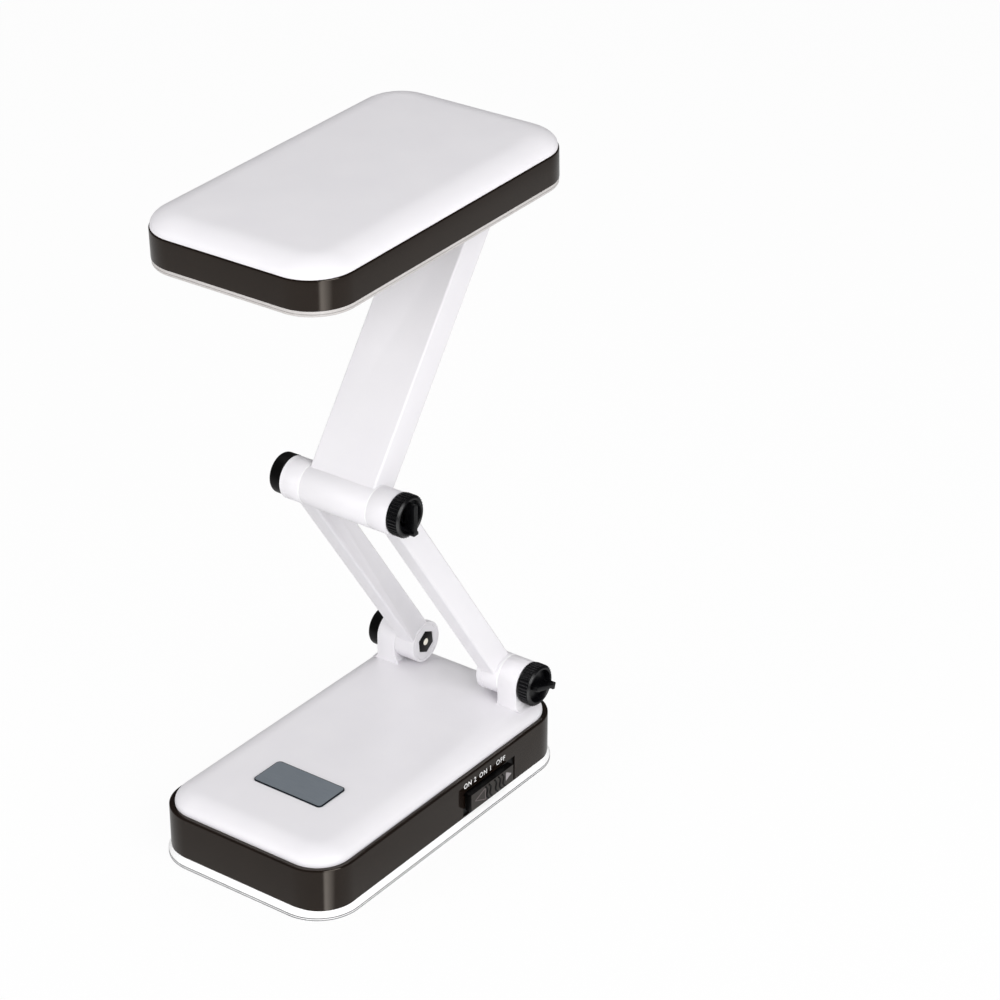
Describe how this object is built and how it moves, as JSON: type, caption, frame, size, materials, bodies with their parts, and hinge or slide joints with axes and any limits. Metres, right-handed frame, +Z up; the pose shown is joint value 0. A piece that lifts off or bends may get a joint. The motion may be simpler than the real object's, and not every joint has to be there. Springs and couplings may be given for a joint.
{
  "type": "folding led desk lamp",
  "caption": "Battery LED desk lamp that folds flat: rounded base, two-legged lower arm, panel upper arm and flat head on knob-tightened friction hinges",
  "frame": {"origin": "centre of the base's footprint, on the surface that the lamp stands on; the middle of the whole lamp's outline as set up is 1.1 mm from it", "axes": "+X runs along the hinge axes towards the switch side, +Y points to the hinge end of the base, +Z is up"},
  "size_m": [0.0973, 0.1702, 0.2927],
  "materials": {
    "base_bottom_cover": "smooth moulded ABS, satin white",
    "base_band": "high-gloss black ABS",
    "base_top_shell": "smooth moulded ABS, semi-gloss white",
    "rubber_feet": "soft moulded rubber",
    "base_screws": "zinc-plated steel",
    "badge_plate": "brushed grey-blue foil plate",
    "battery_door": "smooth moulded ABS, satin white",
    "battery_cells": "printed sleeve over steel cans",
    "battery_contacts": "nickel-plated spring steel",
    "control_board": "solder-masked fibreglass board",
    "slide_switch": "tinned steel can",
    "switch_slider": "satin black ABS",
    "left_leg": "smooth moulded ABS, semi-gloss white",
    "right_leg": "smooth moulded ABS, semi-gloss white",
    "base_hinge_nuts": "plain brass",
    "base_hinge_washers": "fibre friction washers",
    "left_base_cap": "satin black moulded nylon",
    "right_base_knob": "satin black moulded nylon",
    "left_base_bolt": "zinc-plated steel",
    "right_base_bolt": "zinc-plated steel",
    "mid_bolt": "zinc-plated steel",
    "mid_cap": "satin black moulded nylon",
    "mid_washers": "fibre friction washers",
    "mid_knob": "satin black moulded nylon",
    "mid_nut": "plain brass",
    "upper_arm": "smooth moulded ABS, semi-gloss white",
    "upper_arm_cover": "smooth moulded ABS, semi-gloss white",
    "upper_arm_screws": "zinc-plated steel",
    "head_bracket": "smooth moulded ABS, semi-gloss white",
    "head_hinge_screw": "zinc-plated steel",
    "head_hinge_nut": "zinc-plated steel",
    "head_washers": "fibre friction washers",
    "bracket_screws": "zinc-plated steel",
    "reflector_plate": "bright white styrene",
    "led_board": "white solder-masked board",
    "leds": "clear epoxy over yellow phosphor",
    "lens_cover": "clear moulded polystyrene",
    "head_band": "high-gloss black ABS",
    "head_top_shell": "smooth moulded ABS, semi-gloss white",
    "head_screws": "zinc-plated steel"
  },
  "bodies": {
    "base": {"base_bottom_cover": "base_bottom_cover", "base_band": "base_band", "base_top_shell": "base_top_shell", "rubber_feet": "rubber_feet", "base_screws": "base_screws", "badge_plate": "badge_plate", "battery_cells": "battery_cells", "battery_contacts": "battery_contacts", "control_board": "control_board", "slide_switch": "slide_switch"},
    "battery_hatch": {"battery_door": "battery_door"},
    "power_switch": {"switch_slider": "switch_slider"},
    "lower_arm": {"left_leg": "left_leg", "right_leg": "right_leg", "base_hinge_nuts": "base_hinge_nuts", "base_hinge_washers": "base_hinge_washers", "left_base_cap": "left_base_cap", "left_base_bolt": "left_base_bolt", "mid_bolt": "mid_bolt", "mid_cap": "mid_cap", "mid_washers": "mid_washers"},
    "base_knob": {"right_base_knob": "right_base_knob", "right_base_bolt": "right_base_bolt"},
    "mid_knob_turner": {"mid_knob": "mid_knob", "mid_nut": "mid_nut"},
    "arm_panel": {"upper_arm": "upper_arm", "upper_arm_cover": "upper_arm_cover", "upper_arm_screws": "upper_arm_screws"},
    "head": {"head_bracket": "head_bracket", "head_hinge_screw": "head_hinge_screw", "head_hinge_nut": "head_hinge_nut", "head_washers": "head_washers", "bracket_screws": "bracket_screws", "reflector_plate": "reflector_plate", "led_board": "led_board", "leds": "leds", "lens_cover": "lens_cover", "head_band": "head_band", "head_top_shell": "head_top_shell", "head_screws": "head_screws"}
  },
  "joints": [
    {"name": "base_fold", "type": "hinge", "parent": "base", "child": "lower_arm", "pos_m": [0, 0.0668, 0.0414], "axis": [1, 0, 0], "range_deg": [-35, 55.5]},
    {"name": "mid_fold", "type": "hinge", "parent": "lower_arm", "child": "arm_panel", "pos_m": [0, -0.00771, 0.15229], "axis": [-1, 0, 0], "range_deg": [-60, 105]},
    {"name": "head_tilt", "type": "hinge", "parent": "arm_panel", "child": "head", "pos_m": [0, 0.07048, 0.26111], "axis": [1, 0, 0], "range_deg": [-90, 45.5]},
    {"name": "base_knob_turn", "type": "hinge", "parent": "lower_arm", "child": "base_knob", "pos_m": [0.035, 0.0668, 0.0414], "axis": [1, 0, 0], "range_deg": [0, 180]},
    {"name": "mid_knob_turn", "type": "hinge", "parent": "lower_arm", "child": "mid_knob_turner", "pos_m": [0.03, -0.00771, 0.15229], "axis": [1, 0, 0], "range_deg": [0, 180]},
    {"name": "power_slide", "type": "slide", "parent": "base", "child": "power_switch", "axis": [0, -1, 0], "range_m": [0, 0.0045]},
    {"name": "battery_hatch_lift", "type": "slide", "parent": "base", "child": "battery_hatch", "axis": [0, 0, -1], "range_m": [0, 0.02]}
  ]
}
